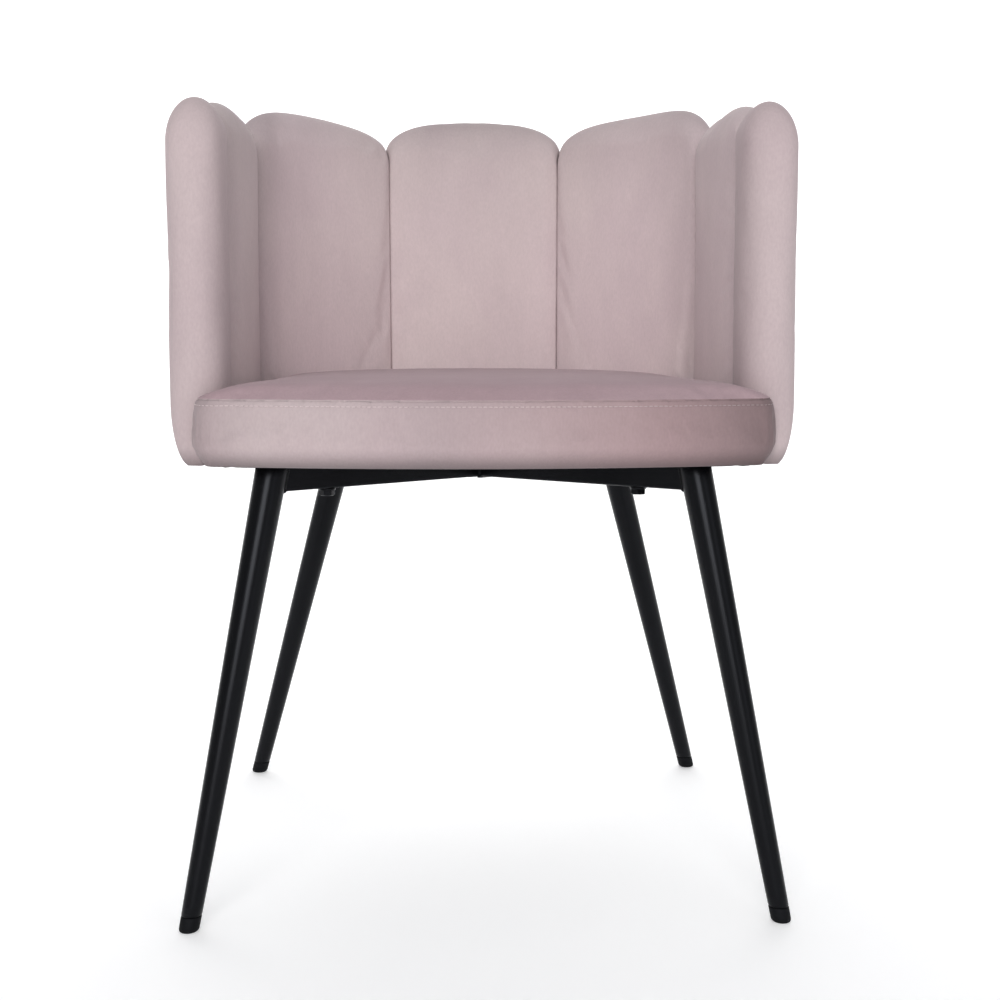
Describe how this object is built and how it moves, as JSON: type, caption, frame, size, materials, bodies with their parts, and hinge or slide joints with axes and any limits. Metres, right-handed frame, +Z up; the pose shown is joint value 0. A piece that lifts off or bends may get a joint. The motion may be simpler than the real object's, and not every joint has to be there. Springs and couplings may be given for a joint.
{
  "type": "upholstered tub chair",
  "caption": "Upholstered tub chair: a U-shaped back of round-topped upright padded channels, a bow-fronted padded seat and a black steel frame of tapered splayed legs.",
  "frame": {"origin": "on the floor, below the middle of the chair's length and width", "axes": "+Z up, +X to the right of someone facing the front of the chair, -Y towards the front of the chair, from which a sitter's legs hang"},
  "size_m": [0.5704, 0.5688, 0.799],
  "materials": {
    "velvet": "dusty blush short-pile velvet, matt with a soft sheen",
    "foam": "cut open-cell foam, matt",
    "plywood": "raw birch plywood, sanded",
    "black_steel": "satin black powder coat",
    "zinc_steel": "bright zinc plate",
    "black_plastic": "matt black moulded plastic",
    "dust_cloth": "black non-woven cloth, matt"
  },
  "bodies": {
    "root": {"leg_front_left": "black_steel", "leg_front_right": "black_steel", "leg_rear_left": "black_steel", "leg_rear_right": "black_steel", "long_bar": "black_steel", "half_bar_front": "black_steel", "half_bar_rear": "black_steel", "foot_cap_front_left": "black_plastic", "foot_cap_front_right": "black_plastic", "foot_cap_rear_left": "black_plastic", "foot_cap_rear_right": "black_plastic", "bolt_front_left": "black_steel", "bolt_front_right": "black_steel", "bolt_rear_left": "black_steel", "bolt_rear_right": "black_steel", "washer_front_left": "black_steel", "washer_front_right": "black_steel", "washer_rear_left": "black_steel", "washer_rear_right": "black_steel", "tee_nut_front_left": "zinc_steel", "tee_nut_front_right": "zinc_steel", "tee_nut_rear_left": "zinc_steel", "tee_nut_rear_right": "zinc_steel", "seat_board": "plywood", "seat_foam": "foam", "seat_cover": "velvet", "dust_cover": "dust_cloth", "back_shell": "plywood", "channel_foam_front_left": "foam", "channel_foam_side_left": "foam", "channel_foam_flank_left": "foam", "channel_foam_centre": "foam", "channel_foam_flank_right": "foam", "channel_foam_side_right": "foam", "channel_foam_front_right": "foam", "channel_cover_front_left": "velvet", "channel_cover_side_left": "velvet", "channel_cover_flank_left": "velvet", "channel_cover_centre": "velvet", "channel_cover_flank_right": "velvet", "channel_cover_side_right": "velvet", "channel_cover_front_right": "velvet", "angle_bracket_arm_left": "zinc_steel", "angle_bracket_flank_left": "zinc_steel", "angle_bracket_back": "zinc_steel", "angle_bracket_flank_right": "zinc_steel", "angle_bracket_arm_right": "zinc_steel", "board_screw_arm_left": "zinc_steel", "board_screw_flank_left": "zinc_steel", "board_screw_back": "zinc_steel", "board_screw_flank_right": "zinc_steel", "board_screw_arm_right": "zinc_steel", "shell_screw_arm_left": "zinc_steel", "shell_screw_flank_left": "zinc_steel", "shell_screw_back": "zinc_steel", "shell_screw_flank_right": "zinc_steel", "shell_screw_arm_right": "zinc_steel"}
  },
  "joints": []
}
